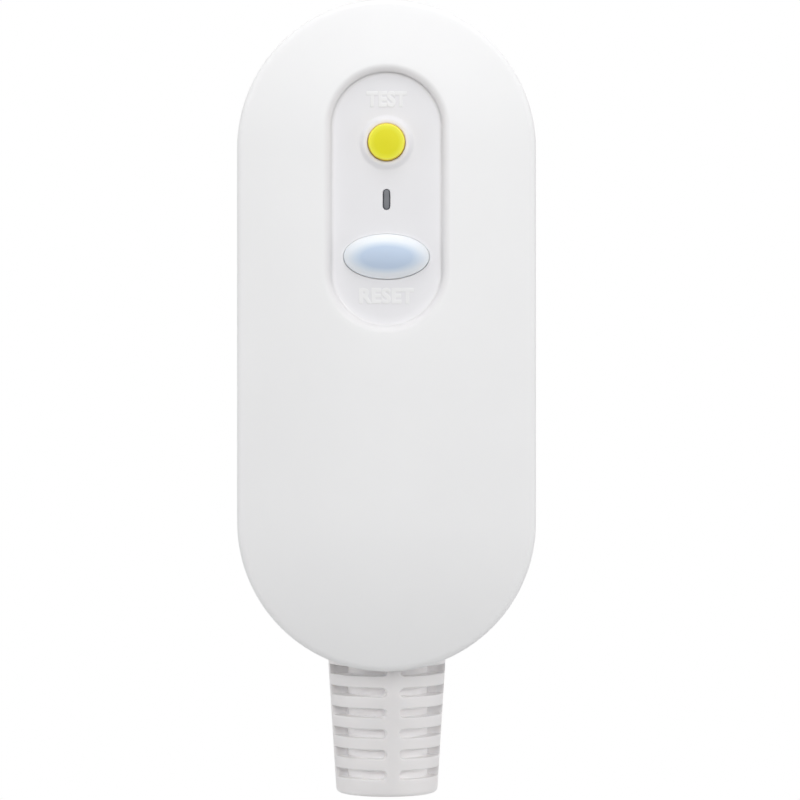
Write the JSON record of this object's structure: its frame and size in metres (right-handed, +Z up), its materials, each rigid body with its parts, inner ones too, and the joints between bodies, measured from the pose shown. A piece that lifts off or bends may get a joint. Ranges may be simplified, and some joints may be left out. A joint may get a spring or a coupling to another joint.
{
  "type": "residual current device plug",
  "caption": "Upright white mains plug with a residual current switch inside, round test and oval reset buttons on a recessed panel, flat blades behind and a slotted cable sleeve.",
  "frame": {"origin": "centre of the blade pattern on the flat socket face, level with the centre of the plug's upper round end", "axes": "+Z up along the plug's long side, +Y out of the socket face along the blades, front cover and buttons towards -Y"},
  "size_m": [0.052, 0.058, 0.1395],
  "materials": {
    "white_cover": "satin",
    "yellow_button": "satin",
    "blue_button": "milky gloss",
    "grey_window": "gloss",
    "soft_sleeve": "matte",
    "brass": "satin",
    "silver_contact": "satin",
    "zinc_steel": "bright zinc",
    "spring_steel": "bright",
    "copper_wire": "enamelled",
    "black_moulding": "satin",
    "cream_moulding": "satin",
    "dark_carrier": "satin",
    "board_green": "solder mask",
    "chip_black": "matte",
    "capacitor_sleeve": "gloss",
    "varistor_blue": "dipped epoxy",
    "resistor_tan": "lacquer",
    "lamp_clear": "clear",
    "ferrite": "matte",
    "lead_brown": "satin",
    "lead_blue": "satin",
    "lead_green": "satin"
  },
  "bodies": {
    "housing": {"front_cover": "white_cover", "rear_cover": "white_cover", "cover_screws": "zinc_steel", "test_leaf": "spring_steel", "test_contact": "silver_contact", "reset_spring": "spring_steel", "indicator_lens": "grey_window", "indicator_lamp": "lamp_clear", "circuit_board": "board_green", "board_screws": "zinc_steel", "amplifier_chip": "chip_black", "filter_capacitor": "capacitor_sleeve", "surge_varistor": "varistor_blue", "trip_thyristor": "chip_black", "board_resistors": "resistor_tan", "mechanism_frame": "black_moulding", "frame_screws": "zinc_steel", "carrier_guide_pins": "zinc_steel", "carrier_springs": "spring_steel", "live_input_strip": "brass", "neutral_input_strip": "brass", "live_output_strip": "brass", "neutral_output_strip": "brass", "plunger_spring": "spring_steel", "solenoid_bobbin": "cream_moulding", "solenoid_winding": "copper_wire", "solenoid_yoke": "zinc_steel", "transformer_case": "black_moulding", "sensing_winding": "copper_wire", "sensing_core": "ferrite", "live_blade": "brass", "neutral_blade": "brass", "earth_blade": "brass", "blade_plate": "cream_moulding", "blade_plate_screws": "zinc_steel", "live_terminal": "brass", "neutral_terminal": "brass", "earth_terminal": "brass", "terminal_screws": "zinc_steel", "live_lead": "lead_brown", "neutral_lead": "lead_blue", "earth_lead": "lead_green", "cable_clamp": "cream_moulding", "cable_clamp_screws": "zinc_steel", "strain_relief": "soft_sleeve"},
    "test_button": {"test_button": "yellow_button"},
    "reset_button": {"reset_button": "blue_button"},
    "contact_carrier": {"contact_carrier": "dark_carrier", "live_bridge": "silver_contact", "neutral_bridge": "silver_contact"},
    "latch": {"latch_plate": "zinc_steel"},
    "trip_plunger": {"trip_plunger": "zinc_steel"}
  },
  "joints": [
    {"name": "test_press", "type": "slide", "parent": "housing", "child": "test_button", "axis": [0, 1, 0], "range_m": [0, 0.001], "stiffness_N_per_m": 1500, "deforming": ["test_leaf"]},
    {"name": "reset_press", "type": "slide", "parent": "housing", "child": "reset_button", "axis": [0, 1, 0], "range_m": [0, 0.0025], "stiffness_N_per_m": 1200, "deforming": ["reset_spring"]},
    {"name": "carrier_close", "type": "slide", "parent": "housing", "child": "contact_carrier", "axis": [0, -1, 0], "range_m": [0, 0.0015], "stiffness_N_per_m": 1500, "deforming": ["carrier_springs"]},
    {"name": "plunger_slide", "type": "slide", "parent": "housing", "child": "trip_plunger", "axis": [0, 0, 1], "range_m": [0, 0.0015], "stiffness_N_per_m": 800, "deforming": ["plunger_spring"]},
    {"name": "latch_slide", "type": "slide", "parent": "contact_carrier", "child": "latch", "axis": [0, 0, 1], "range_m": [0, 0.0015]}
  ],
  "couplings": [
    {"joint": "latch_slide", "follows": "plunger_slide", "ratio": 1}
  ]
}
